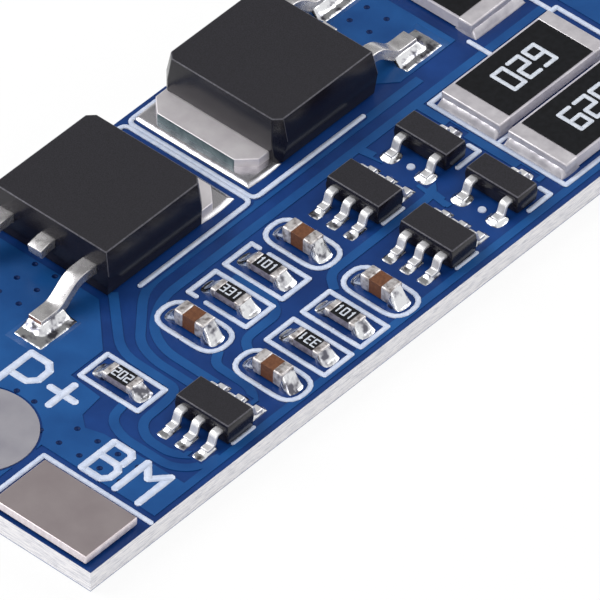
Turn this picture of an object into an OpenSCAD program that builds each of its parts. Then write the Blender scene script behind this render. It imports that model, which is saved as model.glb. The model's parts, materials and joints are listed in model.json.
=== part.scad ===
// Battery management board for two lithium cells in series.
// Millimetres, +Z up. The origin is under the middle of the board, on its underside.
// Inside the file, parts are placed from the board's left near corner, with z = 0 on the mask.

/* [Board] */
// Length of the board
board_l = 50; // [46:1:64]
// Width of the board
board_w = 17; // [17:0.5:22]
// Thickness of the bare laminate
laminate_t = 1.0; // [0.6:0.1:1.6]
// Thickness of the solder mask on each face
mask_t = 0.03; // [0.02:0.005:0.05]
// Thickness of the copper, which shows through the mask as relief
copper_t = 0.035; // [0.02:0.005:0.07]
// Thickness of the printed ink over the copper
ink_t = 0.02; // [0.01:0.005:0.04]
// Height of a tinned pad above the mask
pad_t = 0.05; // [0.04:0.01:0.08]

/* [Weld tabs] */
// Size of the nickel tabs along the board
tab_l = 3.1; // [2.5:0.1:3.4]
// Width of the two near nickel tabs
tab_w = 5.0; // [4:0.1:5.2]
// Thickness of the nickel
tab_t = 0.4; // [0.2:0.05:0.6]
// Solder film under a tab
tab_film = 0.08; // [0.04:0.01:0.15]
// Gap from a tab to the board's end
tab_end_gap = 0.1; // [0.05:0.05:0.3]
// Gap from a tab to the board's long edge
tab_side_gap = 0.35; // [0.3:0.05:0.6]

/* [Output pads] */
// Diameter of the round output pads
round_pad_d = 5.0; // [4:0.1:5.1]
// From the board's end to the middle of a round pad
round_pad_x = 3.05; // [2.8:0.05:3.2]
// Gap from a round pad to the tabs on either side of it
round_pad_gap = 1.0; // [0.9:0.05:1.2]

/* [Power transistors] */
// Body size across the leads
fet_w = 6.7; // [6.2:0.1:6.7]
// Body size along the leads
fet_l = 6.2; // [5.8:0.1:6.3]
// Body height
fet_h = 2.3; // [2.1:0.05:2.4]
// Pitch of the three leads
fet_pitch = 2.286; // [2.2:0.002:2.35]
// Width of a lead
fet_lead_w = 0.75; // [0.6:0.05:0.9]
// Thickness of the lead frame
fet_frame_t = 0.5; // [0.4:0.05:0.55]
// Reach of the outer leads past the body
fet_lead_out = 3.5; // [3.2:0.1:3.6]
// Reach of the cut centre lead past the body
fet_stub_out = 0.8; // [0.5:0.1:1]
// Width of the tab
fet_tab_w = 5.4; // [5:0.1:5.5]
// Reach of the tab past the body
fet_tab_out = 1.3; // [1.1:0.1:1.3]
// Gap from the far edge to a body
fet_edge_gap = 0.2; // [0.15:0.05:0.4]
// From the left end to the middle of the left body
fet_x = 15.4; // [15.2:0.1:15.6]
// Distance between the two bodies' middles
fet_spacing = 10.6; // [10.6:0.05:10.9]

/* [Small circuits] */
// Body size across the leads
sot_w = 1.6; // [1.5:0.05:1.7]
// Body size along the row of leads
sot_l = 2.9; // [2.8:0.05:3]
// Height of the body's top over its pads
sot_h = 1.05; // [1:0.05:1.2]
// Pitch of the leads
sot_pitch = 0.95; // [0.9:0.01:1]
// Reach of a lead past the body
sot_lead_out = 0.9; // [0.7:0.05:0.95]
// Width of a lead
sot_lead_w = 0.4; // [0.3:0.05:0.45]
// Body width of the three-lead transistors
slim_w = 1.3; // [1.2:0.05:1.4]

/* [Chip parts] */
// Length of a chip part
chip_l = 1.6; // [1.5:0.05:1.7]
// Width of a chip part
chip_w = 0.8; // [0.75:0.05:0.9]
// Height of a chip resistor
chip_r_h = 0.45; // [0.4:0.05:0.55]
// Height of a chip capacitor
chip_c_h = 0.75; // [0.7:0.05:0.9]
// Length of a chip resistor's end cap
chip_r_cap = 0.32; // [0.25:0.01:0.36]
// Length of a chip capacitor's end cap
chip_c_cap = 0.48; // [0.35:0.01:0.52]
// Pitch of the chip columns along the board
column_pitch = 2.23; // [2.23:0.01:2.26]
// Pitch of the two chip rows
row_pitch = 4.25; // [4.2:0.01:4.3]

/* [Bleed resistors] */
// Length of a bleed resistor
bleed_l = 6.9; // [6.3:0.1:6.9]
// Width of a bleed resistor
bleed_w = 3.2; // [3:0.05:3.2]
// Height of a bleed resistor
bleed_h = 0.6; // [0.5:0.05:0.7]
// Length of its end cap
bleed_cap = 0.75; // [0.5:0.05:0.85]

/* [Print and tracks] */
// Width of a printed line
line_w = 0.27; // [0.2:0.01:0.29]
// Width of a track
track_w = 0.42; // [0.3:0.02:0.46]
// Diameter of a via
via_d = 0.26; // [0.2:0.02:0.35]

/* [Hidden] */
deck_z = laminate_t + 2 * mask_t;      // top of the mask over the underside
fn_round = 64;
plate_gap = 0.02;                      // wall of metal plated on a ceramic end
plate_round = 0.06;                    // rounding of a plated end
bend_steps = 5;                        // straight pieces in a track's bend
pour_gap = 0.25;                       // copper is kept this far from the board's edge
mask_gap = 0.1;                        // bare ring round a solder pad
ink_gap = 0.05;                        // ink is clipped this far from a pad

// Places, from the left near corner
round_pad_y = tab_side_gap + tab_w + round_pad_gap + round_pad_d / 2;
far_tab_w = board_w - tab_side_gap - round_pad_y - round_pad_d / 2 - round_pad_gap;
near_row = 2.12;
far_row = near_row + row_pitch;
left_column = 13.4;
columns = [for (i = [0:3]) left_column + i * column_pitch];
fet_y = board_w - fet_edge_gap - fet_w / 2;
fet_at = [[fet_x, fet_y, 0], [fet_x + fet_spacing, fet_y, 180]];
six_lead_at = [[9.84, 2.15], [23.75, 6.2], [23.75, 2.2]];
three_lead_at = [[27.95, 6.25], [27.95, 2.37]];
pull_up_at = [8.98, 6.34];
resistor_at = [pull_up_at, [columns[1], far_row], [columns[2], far_row],
    [columns[1], near_row], [columns[2], near_row]];
capacitor_at = [[columns[0], far_row], [columns[3], far_row],
    [columns[0], near_row], [columns[3], near_row]];
bleed_x = 33.95;
bleed_gap = 0.43;
bleed_low = 1.0;
bleed_up = bleed_low + bleed_w + bleed_gap;
bleed_far = [bleed_x + 2.1, board_w - 0.55 - bleed_l];  // near end of the one that lies across
bleed_at = [[bleed_x, bleed_up + bleed_w / 2, 90], [bleed_x, bleed_low + bleed_w / 2, 90],
    [bleed_far.x, bleed_far.y + bleed_l / 2, 0]];

// Heights and bends of the leads
fet_lead_z = 1.15;
fet_draft = [0.12, 0.25];
fet_corner = 0.45;
fet_slug_in = 4.2;
fet_tab_corner = 0.75;
sot_clear = 0.06;
sot_lead_t = 0.17;
sot_lead_z = 0.62;
sot_draft = [0.05, 0.05];

// Each pad is [x, y, size along x, size along y]
chip_pad = [0.95, 0.85];
chip_pad_out = 0.98;
sot_pad = [1.05, 0.55];
sot_pad_shift = 0.13;                  // the circuits sit a little off the middle of their pads
bleed_pad = [3.3, 1.2];
function pair(at, out, size) = [for (s = [-1, 1]) [at.x, at.y + s * out, size.x, size.y]];
sot_pad_out = sot_w / 2 + sot_lead_out - 0.18;
sot_pads = [for (at = six_lead_at, s = [-1, 1], k = [-1:1])
    [at.x - sot_pad_shift + s * sot_pad_out, at.y + k * sot_pitch, sot_pad.x, sot_pad.y]];
slim_pad_out = slim_w / 2 + sot_lead_out - 0.2;
slim_pads = [for (at = three_lead_at, p = [[-1, -1], [-1, 1], [1, 0]])
    [at.x + p.x * slim_pad_out, at.y + p.y * sot_pitch, 0.9, 0.85]];
fet_foot = fet_l / 2 + fet_lead_out;
fet_lead_pad = [2.4, 1.65];
fet_tab_pad = [6.6, 6.5];
fet_pads = [for (at = fet_at, s = [-1, 1]) let (turn = at.z == 0 ? 1 : -1)
    [at.x - turn * (fet_foot - fet_lead_pad.x / 2 + 0.85), at.y + s * fet_pitch - 0.32,
        fet_lead_pad.x, fet_lead_pad.y]];
slug_pads = [for (at = fet_at) let (turn = at.z == 0 ? 1 : -1)
    [at.x + turn * (fet_l / 2 + fet_tab_out + 0.5 - fet_tab_pad.x / 2), at.y, fet_tab_pad.x, fet_tab_pad.y]];
bleed_pads = concat([for (i = [0:1], s = [-1, 1])
    [bleed_at[i].x + s * (bleed_l / 2 - 0.3), bleed_at[i].y, bleed_pad.y, bleed_pad.x]],
    pair(bleed_at[2], bleed_l / 2 - 0.3, bleed_pad));
tab_pads = [
    [tab_end_gap + tab_l / 2, tab_side_gap + tab_w / 2, tab_l + 0.1, tab_w + 0.1],
    [board_l - tab_end_gap - tab_l / 2, tab_side_gap + tab_w / 2, tab_l + 0.1, tab_w + 0.1],
    [tab_end_gap + tab_l / 2, board_w - tab_side_gap - far_tab_w / 2, tab_l + 0.1, far_tab_w + 0.1]];
chip_pads = [for (at = concat(resistor_at, capacitor_at)) each pair(at, chip_pad_out, chip_pad)];
pads = concat(chip_pads, sot_pads, slim_pads, fet_pads, slug_pads, bleed_pads, tab_pads);

// Names of the nodes
MOSFETS = [for (i = [1:2], part = ["body", "tab", "leads"]) str("mosfet_", i, "_", part)];
SMALL = [for (n = ["controller_1", "balancer_1", "balancer_2", "bleed_switch_1", "bleed_switch_2"],
    part = ["body", "leads"]) str(n, "_", part)];
CHIPS = [for (i = [1:5], part = ["ceramic", "element", "caps"]) str("chip_resistor_", i, "_", part)];
CAPS = [for (i = [1:4], part = ["ceramic", "caps"]) str("chip_capacitor_", i, "_", part)];
BLEEDS = [for (i = [1:3], part = ["ceramic", "element", "caps"]) str("bleed_resistor_", i, "_", part)];

// ---------- geometry helpers ----------

function unit(v) = v / norm(v);
function normal(v) = [-v.y, v.x] / norm(v);

// Points of a smooth bend that leaves and joins the two sides of a corner at a distance of reach
function bend(a, corner, b, reach) =
    let (r = min(reach, norm(a - corner) * 0.48, norm(b - corner) * 0.48),
        from = corner + r * unit(a - corner),
        to = corner + r * unit(b - corner))
    [for (k = [0:bend_steps]) let (t = k / bend_steps)
        (1 - t) * (1 - t) * from + 2 * t * (1 - t) * corner + t * t * to];

function rounded(path, reach) = let (last = len(path) - 1)
    [path[0], for (i = [1:1:last - 1]) each bend(path[i - 1], path[i], path[i + 1], reach), path[last]];

// Outline of a band of constant width along a path, with mitred corners
function band(path, width) =
    let (last = len(path) - 1,
        side = [for (i = [0:last])
            let (before = normal(path[max(i, 1)] - path[max(i, 1) - 1]),
                after = normal(path[min(i, last - 1) + 1] - path[min(i, last - 1)]),
                middle = unit(before + after))
            middle * width / 2 / (middle * before)])
    concat([for (i = [0:last]) path[i] + side[i]], [for (i = [last:-1:0]) path[i] - side[i]]);

// Outline of a rectangle with round corners, centred
function rounded_rect(size, r) = [for (q = [0:3], k = [0:bend_steps])
    let (a = 90 * (q + k / bend_steps), cx = (q == 0 || q == 3) ? 1 : -1, cy = q < 2 ? 1 : -1)
    [cx * (size.x / 2 - r) + r * cos(a), cy * (size.y / 2 - r) + r * sin(a)]];

module track(path, width = track_w, reach = 0.9) polygon(band(rounded(path, reach), width));

module line(path, width = line_w) polygon(band(path, width));

module ring(size, r, width = line_w) difference() {
    polygon(rounded_rect(size + [width, width], r + width / 2));
    polygon(rounded_rect(size - [width, width], r - width / 2));
}

// A rectangle drawn with a round pen: round corners outside, sharp ones inside
module frame(from, to, width = line_w) difference() {
    translate((from + to) / 2) polygon(rounded_rect(to - from + [width, width], width / 2));
    translate(from + [width, width] / 2) square(to - from - [width, width]);
}

module pad_shapes(list, grow = 0)
    for (p = list) translate([p[0], p[1]]) square([p[2] + 2 * grow, p[3] + 2 * grow], center = true);

module on_board() translate([-board_l / 2, -board_w / 2, deck_z]) children();
module place(at) translate([at.x, at.y, pad_t]) rotate(len(at) > 2 ? at.z : 0) children();

// A block whose four sides lean in above and below the seam at height waist
module drafted(size, waist, lean, base = 0) {
    half = size / 2;
    low = lean * (waist - base) / (size.z - waist) / 2;
    intersection() {
        rotate([90, 0, 0]) translate([0, 0, -half.y]) linear_extrude(size.y) polygon([
            [-half.x + low.x, base], [half.x - low.x, base], [half.x, waist],
            [half.x - lean.x, size.z], [-half.x + lean.x, size.z], [-half.x, waist]]);
        rotate([90, 0, 90]) translate([0, 0, -half.x]) linear_extrude(size.x) polygon([
            [-half.y + low.y, base], [half.y - low.y, base], [half.y, waist],
            [half.y - lean.y, size.z], [-half.y + lean.y, size.z], [-half.y, waist]]);
    }
}

// A bent strip of sheet metal: path is [out, up] along -X, centred across
module bent_lead(path, thick, width, reach)
    rotate([90, 0, 0]) translate([0, 0, -width / 2]) linear_extrude(width)
        polygon(band([for (p = rounded(path, reach)) [-p.x, p.y]], thick));

// ---------- board ----------

module circuit_board() color("whitesmoke")
    on_board() translate([0, 0, -mask_t - laminate_t]) cube([board_l, board_w, laminate_t]);

module mask_top() color("midnightblue")
    on_board() translate([0, 0, -mask_t]) cube([board_l, board_w, mask_t]);

module mask_bottom() color("royalblue") on_board() translate([0, 0, -deck_z]) cube([board_l, board_w, mask_t]);

// Tracks run from under the left transistor round the first circuit, and along the far side
far_line = 9.42;
mid_line = 8.5;
centre_line = 4.38;
tracks = [
    [[12.7, 10.2], [10.25, 7.6], [10.2, 4.5], [9.4, 4.3], [7.8, 4.25], [7.2, 3.5], [7.2, 2.1], [7.9, 1.25]],
    [[31, far_line], [13.7, far_line], [11.2, 7.4], [10.82, 6.3], [10.8, 3.9], [11.3, 3.1]],
    [[38, mid_line], [13.7, mid_line], [12.2, 7.6], [11.55, 6.4], [11.5, 3.1]],
    [[13.0, 4.7], [12.3, 4.3], [12.25, 2.2], [11.4, 1.4]],
    [[13.7, 3.6], [14.2, centre_line], [16.3, centre_line], [16.76, 5.2], [16.76, 7.2]],
    [[18.9, 3.6], [19.5, centre_line], [26, centre_line], [26.7, 5.2]],
    [[8.3, 5.5], [7.1, 5.3], [6.62, 4.3], [6.62, 1.7], [7.2, 0.9], [8.4, 0.55]],
    [[26, mid_line], [26.2, 7.2]],
    [[29.7, mid_line], [29.7, 1.6]],
    [[26.1, 5.2], [25.9, 3.4]]];

// Round the output pad, and under the left transistor's leads
input_pour = [
    [4.1, 0.6], [4.1, 6.35], [pour_gap, 6.35], [pour_gap, board_w - pour_gap],
    [12.0, board_w - pour_gap], [12.0, 10.35], [9.85, 8.2], [7.9, 8.2], [7.75, 6.45], [6.5, 6.3],
    [6.0, 5.7], [6.25, 4.9], [6.3, 0.6]];
edge_pour = [[4.1, pour_gap], [board_l - pour_gap, pour_gap], [board_l - pour_gap, 0.62], [4.1, 0.62]];
drain_pour = [[30.3, 9.9], [33.85, 9.9], [33.85, board_w - pour_gap], [28.4, board_w - pour_gap], [28.4, 11.6]];
output_pour = [
    [38.7, 0.62], [board_l - tab_l - 0.95, 0.62], [board_l - tab_l - 0.95, 6.35],
    [board_l - pour_gap, 6.35], [board_l - pour_gap, board_w - pour_gap],
    [38.7, board_w - pour_gap]];

// Vias stand in a grid of 1.1 mm beside the tab and in lines round the output pad
via_grid = 1.1;
vias = concat(
    [for (i = [0:1], j = [0:3]) [4.65 + i * via_grid, 2.6 + j * via_grid]],
    [[4.7, 6.95], [5.75, 8.25], [5.75, 9.2], [5.75, 10.3]],
    [for (i = [0:2], j = [0:1]) [9.6 + i * via_grid, 12.6 + j * via_grid]],
    [for (i = [0:1], j = [0:3]) [31.8 + i * via_grid, 12.9 + j * via_grid]],
    [for (i = [0:1], j = [0:3]) [board_l - 5.8 + i * via_grid, 12.9 + j * via_grid]]);

outline = [chip_w + 0.69, chip_l + 1.39];                         // printed round a chip part
frame_gaps = [[columns[1] - outline.x / 2, far_row + 0.85], [columns[2] + outline.x / 2, far_row + 0.95]];

module pen_lines() {
    frame_x = tab_end_gap + tab_l + 0.5;
    frame_y = tab_side_gap + tab_w + 0.57;
    far_frame_y = board_w - tab_side_gap - far_tab_w - 0.4;
    for (side = [0, 1]) translate([side * board_l, 0]) mirror([side, 0])
        line([[frame_x, 0], [frame_x, frame_y], [0, frame_y]]);
    line([[0, far_frame_y], [frame_x - 0.9, far_frame_y]]);
    difference() {
        for (at = resistor_at) translate([at.x, at.y]) frame(-outline / 2, outline / 2);
        for (gap = frame_gaps) translate(gap) square(0.42, center = true);
    }
    for (at = capacitor_at) translate([at.x, at.y]) ring(outline, outline.x / 2 - 0.01);
    fet_front = fet_y - fet_w / 2 - 0.55;
    for (at = fet_at) let (turn = at.z == 0 ? 1 : -1, wall = at.x + turn * (fet_l / 2 + fet_tab_out + 0.95))
        track([[at.x - turn * 1.7, fet_front + 0.1], [at.x - turn * 1.6, fet_front],
            [wall, fet_front], [wall, board_w - 0.2]], line_w, 0.5);
    for (at = six_lead_at) translate([at.x - 0.6, at.y - sot_l / 2])
        line([[0, 0.4], [0, 0], [1.35, 0]], 0.16);
    for (at = three_lead_at) translate([at.x + 1.3, at.y - sot_l / 2 - 0.12])
        line([[0, 0.55], [0, 0], [-1.35, 0]], 0.24);
    for (at = three_lead_at) translate([at.x - 1.32, at.y - 0.1]) circle(d = 0.36, $fn = fn_round);
    left = bleed_x - bleed_l / 2 - 0.42;
    right = bleed_x + bleed_l / 2 + 0.9;
    low = bleed_low - 0.33;
    middle = bleed_low + bleed_w + bleed_gap / 2;
    high = bleed_up + bleed_w + 0.27;
    frame([left, low], [right, high]);
    line([[left, middle], [right, middle]], line_w * 0.7);
    across = bleed_far.x - bleed_w / 2 - 0.3;
    line([[across, high], [across, board_w - 0.2], [right - 0.3, board_w - 0.2], [right - 0.3, high]]);
}

// Ink never runs over bare metal, so the lines are clipped round the pads
module print_lines() difference() {
    pen_lines();
    pad_shapes(pads, ink_gap);
    for (side = [0, 1]) translate([abs(side * board_l - round_pad_x), round_pad_y])
        circle(d = round_pad_d + 2 * ink_gap, $fn = fn_round);
}

module masked_copper() color("royalblue") on_board() linear_extrude(copper_t) difference() {
    union() {
        for (outline = [input_pour, edge_pour, drain_pour, output_pour]) polygon(outline);
        for (path = tracks) track(path);
    }
    pad_shapes(pads, mask_gap);
    for (side = [0, 1]) translate([abs(side * board_l - round_pad_x), round_pad_y])
        circle(d = round_pad_d + 2 * mask_gap, $fn = fn_round);
    print_lines();
    for (v = vias) translate(v) circle(d = via_d, $fn = fn_round);
}

module solder_pads() color("silver") on_board() linear_extrude(pad_t) pad_shapes(pads);

module round_pads() color("silver") on_board()
    for (side = [0, 1]) translate([abs(side * board_l - round_pad_x), round_pad_y])
        cylinder(d = round_pad_d, h = pad_t, $fn = fn_round);

module legend_frames() color("white") on_board() linear_extrude(copper_t + ink_t) print_lines();

// ---------- weld tabs ----------

module weld_tab(at, width) color("darkgray") on_board()
    translate([at[0], at[1], pad_t + tab_film]) linear_extrude(tab_t)
        polygon(rounded_rect([tab_l, width], 0.06));

module tab_bm() weld_tab(tab_pads[0], tab_w);
module tab_b_minus() weld_tab(tab_pads[1], tab_w);
module tab_b_plus() weld_tab(tab_pads[2], far_tab_w);

// ---------- power transistors ----------

// The slug lies under the body and shows as the tab, with its two corners cut off
module fet_slug() {
    front = fet_l / 2 + fet_tab_out;
    back = fet_l / 2 - fet_slug_in;
    half = fet_tab_w / 2;
    linear_extrude(fet_frame_t) polygon([
        [back, -half], [front - fet_tab_corner, -half], [front, -half + fet_tab_corner],
        [front, half - fet_tab_corner], [front - fet_tab_corner, half], [back, half]]);
}

module fet_outer_leads() {
    root = fet_l / 2 - 0.6;
    foot = fet_frame_t / 2;
    for (s = [-1, 1]) translate([0, s * fet_pitch, 0]) bent_lead([
        [root, fet_lead_z], [fet_l / 2 + 1.05, fet_lead_z], [fet_foot - 1.3, foot], [fet_foot, foot]],
        fet_frame_t, fet_lead_w, 0.42);
}

module fet_stub() {
    root = fet_l / 2 - 0.6;
    bent_lead([[root, fet_lead_z], [fet_l / 2 + 0.25, fet_lead_z],
        [fet_l / 2 + fet_stub_out, fet_lead_z - 0.12]], fet_frame_t, fet_lead_w, 0.15);
}

module mosfet_body(i) color("darkslategray") on_board() place(fet_at[i]) difference() {
    drafted([fet_l, fet_w, fet_h], fet_lead_z, fet_draft);
    for (s = [-1, 1]) translate([fet_l / 2 - fet_corner, s * fet_w / 2, -1]) rotate(45 * s)
        translate([0, -fet_w, 0]) cube([fet_w, 2 * fet_w, fet_h + 2]);
    fet_slug();
    fet_outer_leads();
    fet_stub();
}

module mosfet_tab(i) color("lightgray") on_board() place(fet_at[i]) { fet_slug(); fet_stub(); }

module mosfet_leads(i) color("lightgray") on_board() place(fet_at[i]) fet_outer_leads();

// ---------- small circuits ----------

module sot_lead(width, side) {
    body = width / 2;
    foot = sot_lead_t / 2;
    rotate(side < 0 ? 0 : 180) bent_lead([
        [body - 0.3, sot_lead_z], [body + 0.3, sot_lead_z], [body + 0.46, foot],
        [body + sot_lead_out, foot]], sot_lead_t, sot_lead_w, 0.16);
}

module six_leads() for (s = [-1, 1], k = [-1:1]) translate([0, k * sot_pitch, 0]) sot_lead(sot_w, s);

module three_leads()
    for (p = [[-1, -1], [-1, 1], [1, 0]]) translate([0, p.y * sot_pitch, 0]) sot_lead(slim_w, p.x);

module six_lead_body(i) color("dimgray") on_board() place(six_lead_at[i]) difference() {
    drafted([sot_w, sot_l, sot_h], sot_lead_z, sot_draft, sot_clear);
    six_leads();
}

module six_lead_leads(i) color("silver") on_board() place(six_lead_at[i]) six_leads();

module three_lead_body(i) color("dimgray") on_board() place(three_lead_at[i]) difference() {
    drafted([slim_w, sot_l, sot_h - 0.08], sot_lead_z, sot_draft, sot_clear);
    three_leads();
}

module three_lead_leads(i) color("silver") on_board() place(three_lead_at[i]) three_leads();

// ---------- chip parts: size is [width, length, height], lying along Y ----------

module chip_core(size, side_gap = 0)
    translate([-size.x / 2 + side_gap, -size.y / 2 + plate_gap, plate_gap])
        cube([size.x - 2 * side_gap, size.y - 2 * plate_gap, size.z - 2 * plate_gap]);

// An end cap wraps the end, the top and the underside, and a capacitor's sides too
module chip_end_caps(size, cap, side_gap = 0) difference() {
    rotate([90, 0, 90]) translate([0, 0, -size.x / 2]) linear_extrude(size.x) intersection() {
        translate([0, size.z / 2]) polygon(rounded_rect([size.y, size.z], plate_round));
        for (s = [-1, 1]) translate([s * (size.y - cap) / 2, size.z / 2]) square([cap, size.z + 1], center = true);
    }
    chip_core(size, side_gap);
}

module chip_element(size, cap, margin)
    translate([-size.x / 2 + margin, -size.y / 2 + cap, size.z - plate_gap])
        cube([size.x - 2 * margin, size.y - 2 * cap, 2 * plate_gap]);

chip_r_size = [chip_w, chip_l, chip_r_h];
chip_c_size = [chip_w, chip_l, chip_c_h];
bleed_size = [bleed_w, bleed_l, bleed_h];

module chip_resistor_ceramic(i) color("gainsboro") on_board() place(resistor_at[i]) chip_core(chip_r_size);
module chip_resistor_element(i) color("black") on_board() place(resistor_at[i])
    chip_element(chip_r_size, chip_r_cap, 0.04);
module chip_resistor_caps(i) color("silver") on_board() place(resistor_at[i])
    chip_end_caps(chip_r_size, chip_r_cap);

module chip_capacitor_ceramic(i) color("sienna") on_board() place(capacitor_at[i]) chip_core(chip_c_size, plate_gap);
module chip_capacitor_caps(i) color("silver") on_board() place(capacitor_at[i])
    chip_end_caps(chip_c_size, chip_c_cap, plate_gap);

module bleed_resistor_ceramic(i) color("gainsboro") on_board() place(bleed_at[i]) chip_core(bleed_size);
module bleed_resistor_element(i) color("black") on_board() place(bleed_at[i])
    chip_element(bleed_size, bleed_cap, 0.12);
module bleed_resistor_caps(i) color("lightgray") on_board() place(bleed_at[i])
    chip_end_caps(bleed_size, bleed_cap);

// ---------- solder ----------

// A fillet that slopes from a wall of this height out over the pad along +Y
module fillet(out, height, width) rotate([90, 0, 90]) translate([0, 0, -width / 2]) linear_extrude(width)
    polygon([[0, 0], [out, 0], for (k = [0:bend_steps]) let (t = 1 - k / bend_steps)
        [out * t, 0.02 + (height - 0.02) * (1 - t) * (1 - t)]]);

module end_fillets(size, out, height, width)
    for (s = [0, 180]) rotate(s) translate([0, size.y / 2, 0]) fillet(out, height, width);

module solder_joints() color("lightsteelblue") on_board() {
    for (at = resistor_at) place(at) end_fillets(chip_r_size, 0.45, 0.36, chip_w * 0.95);
    for (at = capacitor_at) place(at) end_fillets(chip_c_size, 0.5, 0.6, chip_w * 0.95);
    for (at = bleed_at) place(at) end_fillets(bleed_size, 0.3, 0.45, bleed_w * 0.94);
    for (at = six_lead_at, s = [-1, 1], k = [-1:1]) place(at)
        translate([s * (sot_w / 2 + sot_lead_out), k * sot_pitch, 0]) rotate(-90 * s)
            fillet(s < 0 ? 0.4 : 0.2, 0.14, sot_lead_w);
    for (at = three_lead_at, p = [[-1, -1], [-1, 1], [1, 0]]) place(at)
        translate([p.x * (slim_w / 2 + sot_lead_out), p.y * sot_pitch, 0]) rotate(-90 * p.x)
            fillet(0.24, 0.14, sot_lead_w * 1.6);
    for (at = fet_at) place(at) {
        for (s = [-1, 1]) translate([-fet_foot, s * fet_pitch, 0]) rotate(90) fillet(0.6, 0.4, fet_lead_w * 1.2);
        translate([fet_l / 2 + fet_tab_out, 0, 0]) rotate(-90) fillet(0.45, 0.4, fet_tab_w - 2 * fet_tab_corner);
    }
    for (i = [0:2]) translate([tab_pads[i][0], tab_pads[i][1], pad_t + tab_film / 2])
        cube([tab_l, i == 2 ? far_tab_w : tab_w, tab_film], center = true);
}

// ---------- nodes ----------

circuit_board();
mask_top();
mask_bottom();
masked_copper();
solder_pads();
round_pads();
legend_frames();
tab_bm();
tab_b_plus();
tab_b_minus();
solder_joints();
for (i = [0:1]) {
    mosfet_body(i);
    mosfet_tab(i);
    mosfet_leads(i);
}
six_lead_body(0);  // controller_1_body
six_lead_leads(0);  // controller_1_leads
for (i = [1:2]) {
    six_lead_body(i);
    six_lead_leads(i);
    three_lead_body(i - 1);
    three_lead_leads(i - 1);
}
for (i = [0:4]) {
    chip_resistor_ceramic(i);
    chip_resistor_element(i);
    chip_resistor_caps(i);
}
for (i = [0:3]) {
    chip_capacitor_ceramic(i);
    chip_capacitor_caps(i);
}
for (i = [0:2]) {
    bleed_resistor_ceramic(i);
    bleed_resistor_element(i);
    bleed_resistor_caps(i);
}
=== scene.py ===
# %% [markdown]
# # A battery management board
#
# A small blue circuit board that guards and balances lithium cells. Power transistors, small
# circuits and ceramic chips sit on a board only a millimetre thick, so everything here is a
# fraction of a millimetre in size. The solid shapes come from the CAD frame. This lesson gives
# them their edges, solder, print, finishes and light.

# %% Load the frame
import json
from math import cos, pi, radians, sin

import bmesh
import bpy
import numpy as np
from mathutils import Matrix, Vector


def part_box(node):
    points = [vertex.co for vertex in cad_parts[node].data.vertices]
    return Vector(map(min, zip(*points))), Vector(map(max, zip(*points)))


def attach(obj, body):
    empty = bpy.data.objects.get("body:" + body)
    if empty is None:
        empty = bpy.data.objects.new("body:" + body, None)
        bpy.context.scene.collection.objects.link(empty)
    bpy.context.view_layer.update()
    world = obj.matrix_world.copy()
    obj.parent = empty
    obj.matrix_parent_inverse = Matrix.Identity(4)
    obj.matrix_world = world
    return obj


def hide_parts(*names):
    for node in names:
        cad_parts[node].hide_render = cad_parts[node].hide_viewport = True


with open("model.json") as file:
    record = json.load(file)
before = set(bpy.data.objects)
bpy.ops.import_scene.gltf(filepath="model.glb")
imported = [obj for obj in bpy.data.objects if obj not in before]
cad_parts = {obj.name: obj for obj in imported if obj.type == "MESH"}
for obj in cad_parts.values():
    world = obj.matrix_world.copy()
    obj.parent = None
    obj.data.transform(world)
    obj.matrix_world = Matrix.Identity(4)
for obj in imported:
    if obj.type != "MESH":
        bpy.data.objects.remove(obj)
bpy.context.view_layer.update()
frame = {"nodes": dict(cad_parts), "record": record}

NODES = frame["nodes"]
SLOT_OF = {part["node"]: part["material_slot"] for part in frame["record"]["subparts"]}
print("CAD nodes:", len(NODES))

# %% [markdown]
# ## Sizes and places
# Blender's lengths are in metres, while the drawings of such a board are in millimetres. One
# constant keeps the two apart. The places of parts are read from the CAD nodes' own boxes, so they
# follow the model.

# %% Millimetres and the board's own corner
MM = 0.001
BOARD_LOW, BOARD_HIGH = (Vector(corner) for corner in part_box("circuit_board"))
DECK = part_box("mask_top")[1][2]                       # top of the solder mask
COPPER_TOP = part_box("masked_copper")[1][2]
INK_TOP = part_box("legend_frames")[1][2]
PAD_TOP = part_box("round_pads")[1][2]


def on_board(x, y, z=0.0):
    """A place in millimetres from the left near corner of the mask, as a point in metres."""
    return Vector((BOARD_LOW.x + x * MM, BOARD_LOW.y + y * MM, DECK + z * MM))


size = (BOARD_HIGH - BOARD_LOW) / MM
print(f"board {size.x:.1f} x {size.y:.1f} mm, mask {DECK / MM:.2f} mm up, pads {PAD_TOP / MM:.2f} mm up")

# %% [markdown]
# ## Colour and nodes
# Paint and ink colours are written as the hex values that a colour picker shows, which are sRGB.
# The renderer works in linear light, so one function turns them. A second small function adds a
# shader or geometry node with its settings and its links, which keeps each recipe short.


# %% Hex to linear, and one way to add a node
def linear(code):
    """An sRGB hex colour as linear red, green, blue, alpha."""
    parts = [int(code[i:i + 2], 16) / 255 for i in (1, 3, 5)]
    return tuple(c / 12.92 if c <= 0.04045 else ((c + 0.055) / 1.055) ** 2.4 for c in parts) + (1.0,)


def add(tree, kind, inputs=None, **settings):
    """Adds a node. Each input is a value, or a socket to link from."""
    made = tree.nodes.new(kind)
    for name, value in settings.items():
        setattr(made, name, value)
    for name, value in (inputs or {}).items():
        socket = made.inputs[name]
        if isinstance(value, bpy.types.NodeSocket):
            tree.links.new(value, socket)
        else:
            socket.default_value = value
    return made


print("linear of #808080:", round(linear("#808080")[0], 3))

# %% [markdown]
# ## Camera
# A close view of something this small is taken from some way back with a long lens, so that
# parallel edges stay nearly parallel. The camera looks down at 43 degrees onto the left near end
# of the board, tipped by a little more than a degree.

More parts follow.
